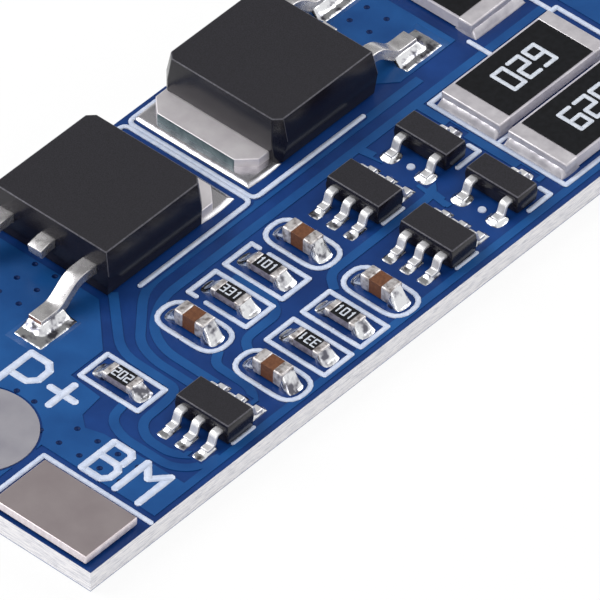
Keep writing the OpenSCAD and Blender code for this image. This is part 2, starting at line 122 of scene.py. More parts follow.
# %% Camera
TARGET = on_board(17.5157, 4.2618)
HEADING, ELEVATION, ROLL = radians(49.690), radians(43.245), radians(1.326)
DISTANCE = 445.85                                     # millimetres from the target
look = Vector((sin(HEADING) * cos(ELEVATION), cos(HEADING) * cos(ELEVATION), -sin(ELEVATION)))
camera_data = bpy.data.cameras.new("camera")
camera_data.lens = 654.5
camera_data.sensor_width = 36
camera_data.clip_start = 0.01
camera = bpy.data.objects.new("camera", camera_data)
bpy.context.collection.objects.link(camera)
turn = look.to_track_quat("-Z", "Y").to_matrix() @ Matrix.Rotation(ROLL, 3, "Z")
camera.matrix_world = Matrix.Translation(TARGET - look * DISTANCE * MM) @ turn.to_4x4()
bpy.context.scene.camera = camera
print("camera up:", [round(v, 4) for v in turn.col[1]])

# %% [markdown]
# ## Light
# Small shiny parts are lit like cutlery: a white tent all round, with soft lamps outside it. The
# world is the tent. What the camera and the mirror-like solder see is plain white, while the
# light it sheds on matt surfaces stays lower, so that colours render about as they are written.
# A grey card hangs in the tent across from the camera. Flat lacquer and flat metal mirror that
# card, so they keep their own tone, while bent leads and solder still find white to mirror.


# %% World and lamps
scene = bpy.context.scene
scene.view_settings.view_transform = "Standard"
world = bpy.data.worlds.new("white tent")
scene.world = world
world.use_nodes = True
sky = world.node_tree
sky.nodes.clear()
path = add(sky, "ShaderNodeLightPath")
seen = add(sky, "ShaderNodeMath", {0: path.outputs["Is Camera Ray"], 1: path.outputs["Is Glossy Ray"]},
           operation="MAXIMUM")
seen = add(sky, "ShaderNodeMath", {0: seen.outputs[0], 1: path.outputs["Is Transmission Ray"]},
           operation="MAXIMUM")
CARD = (look.x, look.y, -look.z)                      # where a level mirror sends the camera's gaze
ray = add(sky, "ShaderNodeTexCoord").outputs["Generated"]
towards = add(sky, "ShaderNodeVectorMath", {0: ray, 1: CARD}, operation="DOT_PRODUCT")
card = add(sky, "ShaderNodeMapRange", {"Value": towards.outputs["Value"], "From Min": 0.66, "From Max": 0.94,
                                       "To Min": 1.0, "To Max": 0.28}, interpolation_type="SMOOTHSTEP")
white = add(sky, "ShaderNodeMath", {0: card.outputs[0], 1: path.outputs["Is Camera Ray"]}, operation="MAXIMUM")
shed = add(sky, "ShaderNodeBackground", {"Color": linear("#FFFFFF"), "Strength": 0.62})
shown = add(sky, "ShaderNodeBackground", {"Color": linear("#FFFFFF"), "Strength": white.outputs[0]})
pick = add(sky, "ShaderNodeMixShader", {0: seen.outputs[0], 1: shed.outputs[0], 2: shown.outputs[0]})
add(sky, "ShaderNodeOutputWorld", {"Surface": pick.outputs[0]})


def lamp(name, away, strength, width, length):
    """A soft box at a place in millimetres from the camera's target, turned towards it."""
    data = bpy.data.lights.new(name, "AREA")
    data.shape = "RECTANGLE"
    data.size, data.size_y = width * MM, length * MM
    data.energy = strength
    made = bpy.data.objects.new(name, data)
    made.location = TARGET + Vector(away) * MM
    made.rotation_euler = (-Vector(away)).to_track_quat("-Z", "Y").to_euler()
    bpy.context.collection.objects.link(made)


lamp("key softbox", (-120, 260, 260), strength=0.8, width=240, length=240)
lamp("side softbox", (260, -40, 200), strength=0.3, width=200, length=200)
lamp("front strip", (-200, -160, 90), strength=0.12, width=160, length=60)

# %% [markdown]
# ## Floor
# A plain white sheet under the board. It keeps the board's soft shadow, and to the camera it is
# as white as the tent.

# %% Floor
half = 600 * MM
sheet_corners = [(-half, -half, 0), (half, -half, 0), (half, half, 0), (-half, half, 0)]
sheet_mesh = bpy.data.meshes.new("floor")
sheet_mesh.from_pydata(sheet_corners, [], [(0, 1, 2, 3)])
floor = bpy.data.objects.new("floor", sheet_mesh)
floor.location.z = -0.02 * MM                         # a hair below the board
bpy.context.collection.objects.link(floor)
paper = bpy.data.materials.new("white paper sweep")
paper.use_nodes = True
tree = paper.node_tree
tree.nodes.clear()
path = add(tree, "ShaderNodeLightPath")
seen = add(tree, "ShaderNodeMath", {0: path.outputs["Is Camera Ray"], 1: path.outputs["Is Glossy Ray"]},
           operation="MAXIMUM")
seen = add(tree, "ShaderNodeMath", {0: seen.outputs[0], 1: 0.86}, operation="MULTIPLY")
matt = add(tree, "ShaderNodeBsdfDiffuse", {"Color": linear("#F4F4F4")})
glow = add(tree, "ShaderNodeEmission", {"Color": linear("#FFFFFF"), "Strength": 1.0})
pick = add(tree, "ShaderNodeMixShader", {0: seen.outputs[0], 1: matt.outputs[0], 2: glow.outputs[0]})
add(tree, "ShaderNodeOutputMaterial", {"Surface": pick.outputs[0]})
floor.data.materials.append(paper)
print("floor ready")

# %% [markdown]
# ## How a finish is built
# Every finish starts the same way: a Principled surface fed by Object coordinates, which are the
# board's own metres. Three helpers then give it what a real surface has: patches of slightly
# different colour, fine relief, and uneven gloss. Each takes its pattern's size in millimetres.


# %% Finish helpers
def finish(name, base, metallic=0.0, roughness=0.5, specular=0.5):
    """A new material with a Principled surface, ready for patterns."""
    made = bpy.data.materials.new(name)
    made.use_nodes = True
    made.node_tree.nodes.clear()
    values = {"Base Color": linear(base), "Metallic": metallic, "Roughness": roughness}
    if not metallic:
        values["Specular IOR Level"] = specular
    shader = add(made.node_tree, "ShaderNodeBsdfPrincipled", values)
    add(made.node_tree, "ShaderNodeOutputMaterial", {"Surface": shader.outputs[0]})
    return made


def surface(material):
    """The material's tree, its Principled node and its Object coordinates."""
    tree = material.node_tree
    shader = next(n for n in tree.nodes if n.bl_idname == "ShaderNodeBsdfPrincipled")
    place = next((n for n in tree.nodes if n.bl_idname == "ShaderNodeTexCoord"), None)
    return tree, shader, (place or add(tree, "ShaderNodeTexCoord")).outputs["Object"]


def pattern(material, size, stretch=(1, 1, 1), detail=3.0, rough=0.5):
    """A noise pattern whose features are about size millimetres across."""
    tree, _, place = surface(material)
    if stretch != (1, 1, 1):
        place = add(tree, "ShaderNodeMapping", {"Vector": place, "Scale": stretch}).outputs[0]
    noise = add(tree, "ShaderNodeTexNoise", {"Vector": place, "Scale": 1 / (size * MM),
                                             "Detail": detail, "Roughness": rough})
    return noise.outputs["Fac"]


def patches(material, colours, value, low=0.3, high=0.7):
    """Colours spread over the surface by a pattern's value."""
    tree, shader, _ = surface(material)
    ramp = add(tree, "ShaderNodeValToRGB", {"Fac": value})
    stops = ramp.color_ramp.elements
    while len(stops) < len(colours):
        stops.new(0.5)
    for i, (stop, colour) in enumerate(zip(stops, colours)):
        stop.position = low + (high - low) * i / (len(colours) - 1)
        stop.color = linear(colour)
    tree.links.new(ramp.outputs["Color"], shader.inputs["Base Color"])


def relief(material, depth, *values):
    """Bumps of depth millimetres from each pattern's value, one on top of another."""
    tree, shader, _ = surface(material)
    for value in values:
        bump = add(tree, "ShaderNodeBump", {"Height": value, "Strength": 1.0, "Distance": depth * MM})
        if shader.inputs["Normal"].is_linked:
            tree.links.new(shader.inputs["Normal"].links[0].from_socket, bump.inputs["Normal"])
        tree.links.new(bump.outputs["Normal"], shader.inputs["Normal"])


def gloss(material, value, low, high):
    """Roughness that wanders from low to high with a pattern's value."""
    tree, shader, _ = surface(material)
    spread = add(tree, "ShaderNodeMapRange", {"Value": value, "From Min": 0.3, "From Max": 0.7,
                                              "To Min": low, "To Max": high})
    tree.links.new(spread.outputs[0], shader.inputs["Roughness"])


print("finish helpers ready")

# %% [markdown]
# ## The board's finishes
# *Solder mask* is a blue epoxy lacquer, printed and cured. Over copper it looks lighter, because
# the metal shines back through it, and over bare glass laminate it looks deep blue. It dries
# nearly glossy, with a very slight orange peel. *Glass-epoxy laminate* shows its woven glass at
# the cut edge as pale streaks along the board. *Printing ink* is matt and a little uneven.

# %% Mask, laminate and ink
mask_deep = finish("solder_mask_on_laminate", "#0E3371", roughness=0.34, specular=0.25)
patches(mask_deep, ["#0A2D66", "#133D7E"], pattern(mask_deep, 2.2, detail=4))
relief(mask_deep, 0.0016, pattern(mask_deep, 0.22), pattern(mask_deep, 0.9))

mask_light = finish("solder_mask_on_copper", "#184C8A", roughness=0.3, specular=0.25)
patches(mask_light, ["#12427C", "#1E5694"], pattern(mask_light, 2.6, detail=4))
relief(mask_light, 0.0016, pattern(mask_light, 0.2), pattern(mask_light, 1.1))

# Darker than the mask on laminate: the shade in the via's hole, painted into the lacquer's colour.
mask_dimple_painted_shade = finish("solder_mask_in_a_via_painted_shade", "#08214F", roughness=0.35, specular=0.1)
relief(mask_dimple_painted_shade, 0.002, pattern(mask_dimple_painted_shade, 0.1))

glass_epoxy = finish("glass_epoxy_laminate", "#D9DADC", roughness=0.62, specular=0.3)
streak = pattern(glass_epoxy, 0.07, stretch=(0.1, 0.1, 1.0), detail=6, rough=0.65)
patches(glass_epoxy, ["#C4C5CB", "#E0DFE4", "#F1EFF0"], streak, low=0.34, high=0.6)
relief(glass_epoxy, 0.006, streak, pattern(glass_epoxy, 0.08))

ink = finish("screen_print_ink", "#CBD4E7", roughness=0.6, specular=0.3)
patches(ink, ["#BECAE2", "#D6DDED"], pattern(ink, 0.35))
relief(ink, 0.004, pattern(ink, 0.12))
print("board finishes:", mask_deep.name, mask_light.name, glass_epoxy.name, ink.name)

# %% [markdown]
# ## Metal finishes
# *Tin* on the round pads is levelled by hot air and turns matt grey. *Nickel strip* is rolled,
# so it keeps very fine lines along its length. *Lead frames* are stamped, bent and tinned, which
# leaves a satin skin with small scratches. *Solder* freezes from a liquid: smooth, bright and
# slightly wrinkled. *Plated ends* of ceramic chips are a bit rougher, like fired silver. The front
# of a cooling tab stands over the lacquer and mirrors it; that dark reflection is painted into its
# colour. All are metals, so they keep the default index of refraction.

# %% Tin, nickel, leads, plated ends and solder
levelled_tin = finish("hot_air_levelled_tin", "#A9A7B0", metallic=0.75, roughness=0.5)
patches(levelled_tin, ["#A19FA9", "#B3B1B8"], pattern(levelled_tin, 1.6, detail=5))
relief(levelled_tin, 0.002, pattern(levelled_tin, 0.12), pattern(levelled_tin, 0.6))

nickel = finish("rolled_nickel_strip", "#C8BBBD", metallic=1.0, roughness=0.38)
patches(nickel, ["#C3B6B8", "#CDC1C2"], pattern(nickel, 1.2, detail=4))
relief(nickel, 0.0009, pattern(nickel, 0.07, stretch=(0.05, 1, 1)), pattern(nickel, 0.12))

nickel_edge = finish("slit_nickel_edge", "#DDD4D8", metallic=0.55, roughness=0.4)
patches(nickel_edge, ["#D2C8CC", "#E8E0E4"], pattern(nickel_edge, 0.3, stretch=(1, 1, 0.2)))
relief(nickel_edge, 0.002, pattern(nickel_edge, 0.15))

lead_tin = finish("tinned_lead_frame", "#D2D0D2", metallic=0.8, roughness=0.27)
patches(lead_tin, ["#B9B6B8", "#DCDADA"], pattern(lead_tin, 0.5, detail=4))
gloss(lead_tin, pattern(lead_tin, 0.3), low=0.2, high=0.36)
relief(lead_tin, 0.002, pattern(lead_tin, 0.07, stretch=(0.2, 1, 1)), pattern(lead_tin, 0.4))

# A lighter, less metallic copy of the lead tin for the small leads: their brightness is a painted highlight.
small_tin_painted_highlight = finish("tinned_small_lead_painted_highlight", "#EDEDF0", metallic=0.55, roughness=0.28)
patches(small_tin_painted_highlight, ["#D8D7DA", "#F3F3F5"], pattern(small_tin_painted_highlight, 0.3, detail=3))
relief(small_tin_painted_highlight, 0.003, pattern(small_tin_painted_highlight, 0.1), pattern(small_tin_painted_highlight, 0.3))

sheared = finish("sheared_copper_end", "#B88A7A", metallic=0.7, roughness=0.4)
patches(sheared, ["#96604F", "#C7A090"], pattern(sheared, 0.15))
relief(sheared, 0.004, pattern(sheared, 0.06, stretch=(1, 0.2, 1)))

satin_tin = finish("satin_tinned_tab", "#E0DBDE", metallic=0.5, roughness=0.45)
patches(satin_tin, ["#D6D0D4", "#E6E2E4"], pattern(satin_tin, 0.9, detail=4))
relief(satin_tin, 0.0015, pattern(satin_tin, 0.08), pattern(satin_tin, 0.2, stretch=(1, 0.1, 1)))

# The tab's front face: its dark blue-green colour is a painted reflection of the lacquer below it.
tab_front_painted_reflection = finish("tinned_tab_front_painted_reflection", "#56696D", metallic=0.4, roughness=0.45)
patches(tab_front_painted_reflection, ["#455A5F", "#67797C"], pattern(tab_front_painted_reflection, 0.4))
relief(tab_front_painted_reflection, 0.002, pattern(tab_front_painted_reflection, 0.1))

# The plating's dark brown-grey patches are partly the uneven fired paste and partly painted reflections.
plated = finish("fired_silver_plating_with_painted_reflections", "#C4BFBE", metallic=0.6, roughness=0.34)
patches(plated, ["#8D8583", "#C6C0BF", "#E2DEDD"], pattern(plated, 0.24, detail=3),
        low=0.34, high=0.62)
relief(plated, 0.02, pattern(plated, 0.2, detail=2), pattern(plated, 0.45, detail=2))

smooth_plating = finish("rolled_silver_plating", "#CAC6CB", metallic=0.4, roughness=0.34)
patches(smooth_plating, ["#BDB9BE", "#D3CFD3"], pattern(smooth_plating, 0.5, detail=4))
relief(smooth_plating, 0.003, pattern(smooth_plating, 0.15, detail=1), pattern(smooth_plating, 0.9, detail=1))

# The solder's dark grey patches are painted reflections of the dark parts around it; the lighter tones are its
# own.
solder = finish("bright_solder_painted_reflections", "#C3C3C8", metallic=1.0, roughness=0.15)
patches(solder, ["#62626B", "#C0C0C5", "#DEDFE1"], pattern(solder, 0.5, detail=2),
        low=0.36, high=0.52)
gloss(solder, pattern(solder, 0.4, detail=2), low=0.1, high=0.22)
relief(solder, 0.012, pattern(solder, 0.28, detail=1), pattern(solder, 0.6, detail=1))

calm_solder = finish("levelled_solder", "#C9C7CC", metallic=0.9, roughness=0.2)
patches(calm_solder, ["#B4B3B9", "#D6D4D8"], pattern(calm_solder, 0.9, detail=2),
        low=0.36, high=0.56)
relief(calm_solder, 0.0025, pattern(calm_solder, 0.5, detail=1), pattern(calm_solder, 1.3, detail=0))

dull_solder = finish("dull_solder", "#C6C3C9", metallic=0.45, roughness=0.3)
patches(dull_solder, ["#B2AFB6", "#D3D0D5"], pattern(dull_solder, 0.6, detail=3))
relief(dull_solder, 0.003, pattern(dull_solder, 0.3, detail=1))
print("metals:", [m.name for m in (levelled_tin, nickel, lead_tin, plated, solder)])

# %% [markdown]
# ## Moulded and ceramic finishes
# *Moulding epoxy* is black and full of silica sand. Its top is blasted matt and grainy, and its
# sides keep the mould's own gloss, so they mirror the leads. *Alumina* is the fired white ceramic
# of the resistors, and *resistor glaze* the black glass over their film. *Capacitor ceramic* is
# fired brown, with a slight polish.

# %% Epoxy, alumina, glaze and brown ceramic
epoxy = finish("moulding_epoxy", "#15141A", roughness=0.5, specular=0.36)
patches(epoxy, ["#0C0B11", "#201E26"], pattern(epoxy, 0.05, detail=2), low=0.35, high=0.65)
relief(epoxy, 0.003, pattern(epoxy, 0.05, detail=2))
tree, shader, _ = surface(epoxy)
facing = add(tree, "ShaderNodeSeparateXYZ", {"Vector": add(tree, "ShaderNodeNewGeometry").outputs["Normal"]})
satin = add(tree, "ShaderNodeMapRange", {"Value": facing.outputs["Z"], "From Min": 0.3, "From Max": 0.8,
                                         "To Min": 0.18, "To Max": 0.6})
tree.links.new(satin.outputs[0], shader.inputs["Roughness"])

# A lighter grey for the rounded upper edges of the bodies: a painted highlight, not a colour of the epoxy.
epoxy_edge_painted_highlight = finish("moulding_epoxy_edge_painted_highlight", "#45444B", roughness=0.42, specular=0.5)
patches(epoxy_edge_painted_highlight, ["#323138", "#58575F"], pattern(epoxy_edge_painted_highlight, 0.1))
relief(epoxy_edge_painted_highlight, 0.004, pattern(epoxy_edge_painted_highlight, 0.05))

alumina = finish("fired_alumina", "#C2BEC6", roughness=0.36, specular=0.4)
patches(alumina, ["#B6B2BC", "#CBC7CD"], pattern(alumina, 0.7, detail=4))
relief(alumina, 0.002, pattern(alumina, 0.1))

# A darker copy of the alumina for the small chips: the grey of their sides is painted shade.
small_alumina_painted_shade = finish("alumina_painted_shade", "#7F7B89", roughness=0.5, specular=0.25)
patches(small_alumina_painted_shade, ["#66616F", "#94909C"], pattern(small_alumina_painted_shade, 0.2))
relief(small_alumina_painted_shade, 0.006, pattern(small_alumina_painted_shade, 0.09))

glaze = finish("resistor_glaze", "#0E0F12", roughness=0.34, specular=0.25)
patches(glaze, ["#0A0B0E", "#15161A"], pattern(glaze, 0.25))
relief(glaze, 0.003, pattern(glaze, 0.12))

brown = finish("capacitor_ceramic", "#6A432C", roughness=0.42, specular=0.3)
patches(brown, ["#5A3724", "#754B32"], pattern(brown, 0.12, detail=4))
relief(brown, 0.004, pattern(brown, 0.07))
print("ceramics:", [m.name for m in (epoxy, alumina, glaze, brown)])

# %% [markdown]
# ## Finishes on the plain CAD nodes
# The flat pieces of the board are right as the CAD made them, so they only get their finish.

# %% Give the flat nodes their finishes
PLAIN = {"circuit_board": glass_epoxy, "mask_top": mask_deep, "mask_bottom": mask_light,
         "masked_copper": mask_light, "solder_pads": levelled_tin, "round_pads": levelled_tin}
FINISH = {"nickel": nickel, "moulded_epoxy": epoxy, "resistor_glaze": glaze, "capacitor_ceramic": brown}


def finish_of(name):
    """Most finishes follow the material, and some differ between small and large parts; the small leads carry
    a painted highlight and the small chips' ceramic painted shade.
    """
    slot, big = SLOT_OF[name], name.startswith(("mosfet", "bleed_resistor"))
    special = {"tinned_frame": (small_tin_painted_highlight, lead_tin), "alumina": (small_alumina_painted_shade, alumina),
               "plated_cap": (plated, smooth_plating)}
    return special[slot][big] if slot in special else FINISH[slot]


for name, material in PLAIN.items():
    for holder in NODES[name].material_slots:
        holder.material = material
print("dressed:", list(PLAIN))

# %% [markdown]
# ## Real edges
# No moulded body, stamped lead or diced ceramic has a razor edge. Light catches the small round
# on each edge, and that thin line of light is most of what tells the eye how big a part is. CAD
# leaves the edges sharp, so each such node is copied, its loose triangles are welded back into
# flat faces, and a Bevel modifier rounds the edges. The copy then stands for the node.


# %% Soften a node's edges
WELD = 0.0005 * MM                                    # corners closer than this are one corner
FLATNESS = 0.88                                       # chip resistors come out a little flatter
GLAZE_SPREAD = 1.13                                   # and their glaze a little wider
FOOT_REACH = 0.943                                    # feet of power transistors are formed closer in
TAB_SHIFT = 0.35                                      # millimetres, a cooling tab is off the middle
PLATE_TOP = PAD_TOP + 0.55 * MM                       # just above the flat plate of a cooling tab
LEAN = 0.24                                           # millimetres, cut corners lean in by this


def welded(name):
    """A bmesh of a CAD node with its triangles joined back into flat faces."""
    shape = bmesh.new()
    shape.from_mesh(NODES[name].data)
    bmesh.ops.remove_doubles(shape, verts=shape.verts, dist=WELD)
    bmesh.ops.dissolve_limit(shape, angle_limit=radians(1), verts=shape.verts, edges=shape.edges)
    return shape


def as_piece(name, mesh, material, *nodes, slot=None, more=()):
    """An object on the board's body with its finishes, which stands for the CAD nodes named."""
    made = bpy.data.objects.new(name, mesh)
    bpy.context.collection.objects.link(made)
    for i, skin in enumerate((material, *more)):
        if i < len(mesh.materials):
            mesh.materials[i] = skin
        else:
            mesh.materials.append(skin)
    if nodes:
        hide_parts(*nodes)
    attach(made, "root")
    return made


def seated(mesh, name):
    """Real parts spread a little from their drawings: how flat a chip is, or where a tab ends."""
    points = np.empty(len(mesh.vertices) * 3)
    mesh.vertices.foreach_get("co", points)
    points = points.reshape(-1, 3)
    x, y, z = points.T
    if name.startswith("chip_resistor"):
        points[:, 2] = PAD_TOP + (z - PAD_TOP) * FLATNESS
        if name.endswith("element"):                      # glaze runs out to both sides
            centre = (x.min() + x.max()) / 2
            points[:, 0] = centre + (x - centre) * GLAZE_SPREAD
    elif name.startswith("mosfet") and not name.endswith("body"):
        (low_x, low_y, _), (high_x, high_y, _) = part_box(name.rsplit("_", 1)[0] + "_body")
        turn = 1 if name.startswith("mosfet_1") else -1   # leads point to -X on the first one
        face = low_x if turn == 1 else high_x
        if name.endswith("leads"):                        # the feet are formed a little closer
            out = (face - x) * turn
            points[:, 0] = np.where(out > 0, face - turn * out * FOOT_REACH, x)
        else:                                             # and the tab sits off the middle
            side = (y - (low_y + high_y) / 2) * turn < -1.5 * MM
            points[:, 1] = np.where(side & (z < PLATE_TOP), y - turn * TAB_SHIFT * MM, y)
    mesh.vertices.foreach_set("co", points.ravel())
    mesh.update()
    return mesh


def evaluated(made):
    """The object's mesh with its modifiers applied, and the object itself removed."""
    bpy.context.view_layer.update()
    live = made.evaluated_get(bpy.context.evaluated_depsgraph_get())
    mesh = bpy.data.meshes.new_from_object(live, depsgraph=bpy.context.evaluated_depsgraph_get())
    bpy.data.objects.remove(made)
    return mesh


def lean_corners(shape):
    """Moulds draw out upwards, so the two cut corners of a power transistor lean in as its sides do."""
    top = max(v.co.z for v in shape.verts)
    rim = top - 0.01 * MM                                 # what lies above this belongs to the top
    for face in list(shape.faces):
        across, along_board = abs(face.normal.y), abs(face.normal.x)
        if abs(along_board - across) > 0.05 or along_board < 0.6:
            continue                                      # not one of the two cut corners
        upper = [v for v in face.verts if v.co.z > rim]
        waist = [v for v in face.verts if 0.9 * MM < top - v.co.z < 1.5 * MM]
        if len(upper) == 2 and len(waist) == 2:
            bmesh.utils.face_split(face, *waist)
            for v in upper:                               # slide along the top edge that both faces share
                near = [edge.other_vert(v) for edge in v.link_edges]
                along = next(n.co - v.co for n in near if n not in upper and n.co.z > rim)
                v.co += along.normalized() * LEAN * MM


def further_finishes(name):
    """Finishes that some faces of a piece get once it is made, after its first one."""
    if name.startswith("mosfet") and not name.endswith("body"):
        return (tab_front_painted_reflection if name.endswith("tab") else sheared, satin_tin)
    return {"moulded_epoxy": (epoxy_edge_painted_highlight,), "nickel": (nickel_edge,)}.get(SLOT_OF[name], ())


def soften(name, radius):
    """Replaces a node by a copy whose edges are rounded by a radius in millimetres."""
    mesh = bpy.data.meshes.new(name + "_soft")
    shape = welded(name)
    if name.startswith("mosfet") and name.endswith("body"):
        lean_corners(shape)
    shape.to_mesh(mesh)
    shape.free()
    rough = bpy.data.objects.new(name + "_rough", mesh)
    bpy.context.collection.objects.link(rough)
    bevel = rough.modifiers.new("edge", "BEVEL")
    bevel.width, bevel.segments = radius * MM, 3
    bevel.limit_method, bevel.angle_limit = "ANGLE", radians(25)
    bevel.use_clamp_overlap = True
    # the bevel takes the second finish: on moulded bodies, the painted edge highlight
    bevel.material = 1 if SLOT_OF[name] == "moulded_epoxy" else 0
    bevel.miter_outer = "MITER_ARC"
    rough.data.shade_smooth()
    rough.modifiers.new("flat faces stay flat", "WEIGHTED_NORMAL").weight = 100
    rough.data.materials.append(None)
    rough.data.materials.append(None)
    return as_piece(name + "_piece", seated(evaluated(rough), name), finish_of(name), name,
                    more=further_finishes(name))


EDGE = {"moulded_epoxy": 0.045, "tinned_frame": 0.05, "alumina": 0.03, "resistor_glaze": 0.012,
        "capacitor_ceramic": 0.02, "nickel": 0.15}
softened = {name: soften(name, EDGE[slot]) for name, slot in SLOT_OF.items() if slot in EDGE}
print("softened pieces:", len(softened))

# %% [markdown]
# Leads are sheared from a copper strip that was already tinned, so the cut ends show a little
# copper. The cooling tabs keep the strip's own satin skin. A nickel tab is bright where it was slit.
# All are faces of the softened pieces, so those faces only need another finish.

# %% Sheared ends, satin tabs and slit edges
for name, made in softened.items():
    for face in made.data.polygons:
        place = face.center
        if name.endswith("body"):                         # only the upper edges get the lighter grey, a painted highlight
            face.material_index = int(face.material_index == 1 and 0.2 < face.normal.z < 0.97)
        elif name.startswith("mosfet") and name.endswith("leads"):
            face.material_index = int(abs(face.normal.x) > 0.9 and place.z > PAD_TOP + 0.12 * MM)
        # a tab's low front faces take the painted reflection, the rest of its plate the satin finish
        elif name.startswith("mosfet") and name.endswith("tab"):
            front = abs(face.normal.x) > 0.9
            face.material_index = 0 if place.z > PLATE_TOP else 1 if front else 2
        elif SLOT_OF[name] == "nickel":
            face.material_index = int(face.normal.z < 0.8)
print("faces dressed")

# %% [markdown]
# ## Plated ends
# A ceramic chip's ends are dipped in silver paste, fired and plated, so they are full, rounded
# and a little uneven, like a candle end. Each end is a block with a wide bevel, placed by the
# box of its own CAD solid. The blocks of one chip make one piece.


# %% Islands of a node, and blocks with round edges
def islands(mesh):
    """The lowest and highest corner of each separate solid in a mesh, in metres, and its points."""
    shape = bmesh.new()
    shape.from_mesh(mesh)
    bmesh.ops.remove_doubles(shape, verts=shape.verts, dist=WELD)
    left, found = set(shape.verts), []
    while left:
        edge = [left.pop()]
        group = list(edge)
        while edge:
            near = [e.other_vert(v) for v in edge for e in v.link_edges]
            edge = [v for v in dict.fromkeys(near) if v in left]
            left.difference_update(edge)
            group += edge
        points = np.array([v.co for v in group])
        found.append((points.min(axis=0), points.max(axis=0), points))
    shape.free()
    return sorted(found, key=lambda solid: tuple(solid[0].round(6)))


def blocks(name, boxes, radius, segments=4):
    """A mesh of boxes with rounded edges, from (low, high) corners in metres."""
    shape = bmesh.new()
    for low, high in boxes:
        low, high = Vector(low), Vector(high)
        place = Matrix.Translation((low + high) / 2) @ Matrix.Diagonal((*(high - low), 1))
        bmesh.ops.create_cube(shape, size=1, matrix=place)
    bmesh.ops.bevel(shape, geom=shape.edges[:], offset=radius * MM, segments=segments, profile=0.5,
                    affect="EDGES", clamp_overlap=True)
    mesh = bpy.data.meshes.new(name)
    shape.to_mesh(mesh)
    shape.free()
    mesh.shade_smooth()
    return mesh


CAPS = [name for name, slot in SLOT_OF.items() if slot == "plated_cap"]
for name in CAPS:
    proud = 0.012 * MM                                    # the paste lies over the ceramic
    boxes = [(low - proud * np.array((1, 1, 0)), high + proud) for low, high, _ in islands(NODES[name].data)]
    made = blocks(name + "_piece", boxes, radius=0.09)
    as_piece(name + "_piece", seated(made, name), finish_of(name), name)
print("plated ends on", len(CAPS), "chips")

# %% [markdown]
# ## Solder
# Molten solder wets the tinned pad and climbs whatever stands on it, so its surface is a low film
# with a hollow slope up to each wall. The film's shape follows a simple rule, so it is computed:
# a grid over the pad, lifted by the distance to the pad's rim and to the nearest wall. Pads and
# walls are the CAD's own solids.


# %% The shape of a solder joint
def slope(x, y, wall, height, reach, bulge):
    """Height of the slope that climbs a wall, hollow or with a bulge from 0 to 1, all in metres."""
    low, high = wall
    away_x = np.maximum(0, np.maximum(low[0] - x, x - high[0]))
    away_y = np.maximum(0, np.maximum(low[1] - y, y - high[1]))
    t = np.clip(np.hypot(away_x, away_y) / reach, 0, 1)
    return height * ((1 - bulge) * (1 - t) ** 1.8 + bulge * (1 - 3 * t ** 2 + 2 * t ** 3))


def joint(shape, pad, walls, film=0.05, cell=0.055, round_off=0.08):
    """Adds one pad's solder to a bmesh. walls are (box, height, reach, bulge), in millimetres."""
    (x0, y0), (x1, y1) = pad[0][:2], pad[1][:2]
    columns = max(8, int((x1 - x0) / (cell * MM)))
    rows = max(8, int((y1 - y0) / (cell * MM)))
    u, v = np.meshgrid(np.linspace(-1, 1, columns + 1), np.linspace(-1, 1, rows + 1), indexing="ij")
    squash = 1 - round_off * (u * v) ** 2                 # the corners of the film pull in
    x = (x0 + x1) / 2 + u * (x1 - x0) / 2 * squash
    y = (y0 + y1) / 2 + v * (y1 - y0) / 2 * squash
    from_rim = np.minimum((1 - np.abs(u)) * (x1 - x0), (1 - np.abs(v)) * (y1 - y0)) / 2
    rise = max(0.2, 2.6 * film) * MM                      # how far in the film reaches its full height
    rim = np.sin(np.clip(from_rim / rise, 0, 1) * pi / 2) ** 0.8
    wave = np.sin(x / MM * 5 + 2 * np.sin(y / MM * 4)) * np.sin(y / MM * 6 + 1.3)
    top = film * MM * rim * (1 + (0.12 if film < 0.1 else 0.03) * wave)
    for wall, height, reach, bulge in walls:
        climb = slope(x, y, wall, height * MM, reach * MM, bulge) * rim * (1 + 0.05 * wave)
        top = np.maximum(top, climb) + 0.15 * np.minimum(top, climb)
    z = DECK + np.maximum(top, 0.004 * MM)                # even the rim has a little depth
    upper = [[shape.verts.new((x[i, j], y[i, j], z[i, j])) for j in range(rows + 1)]
             for i in range(columns + 1)]
    for i in range(columns):
        for j in range(rows):
            shape.faces.new((upper[i][j], upper[i + 1][j], upper[i + 1][j + 1], upper[i][j + 1]))
    border = [(i, 0) for i in range(columns)] + [(columns, j) for j in range(rows)]
    border += [(i, rows) for i in range(columns, 0, -1)] + [(0, j) for j in range(rows, 0, -1)]
    lower = [shape.verts.new((x[i, j], y[i, j], DECK)) for i, j in border]
    shape.faces.new(lower[::-1])
    for k, (i, j) in enumerate(border):
        n = (k + 1) % len(border)
        shape.faces.new((upper[border[n][0]][border[n][1]], upper[i][j], lower[k], lower[n]))


print("solder rule ready")

# %% [markdown]
# The walls are of two kinds: a chip's plated ends, and the foot of a bent lead, which is the part of
# it that lies on the pad. Solder round a cooling tab lies nearly level, so the tab is no wall.


# %% Walls that the solder climbs
def foot(points, thick):
    """The box of the part of a lead that lies on its pad."""
    flat = points[points[:, 2] < PAD_TOP + thick * 1.15 * MM]
    return flat.min(axis=0), flat.max(axis=0)


def wall_at(name, low, high, points):
    """A wall's box, how high and how far out its solder goes in millimetres, and its bulge."""
    tall = (high[2] - PAD_TOP) / MM * (FLATNESS if name.startswith("chip_resistor") else 1)
    if name.startswith("bleed_resistor"):
        return (low, high), tall * 0.6, 0.45, 0.3
    if name.endswith("caps"):
        tuck = 0.06 * MM * np.array((1, 1, 0))            # solder laps over the plated edge
        return (low + tuck, high - tuck), tall + 0.05, 0.66, 0.5
    if name.startswith("mosfet"):
        return foot(points, thick=0.5), 0.36, 0.62, 0
    return foot(points, thick=0.15), 0.16, 0.3, 0.5


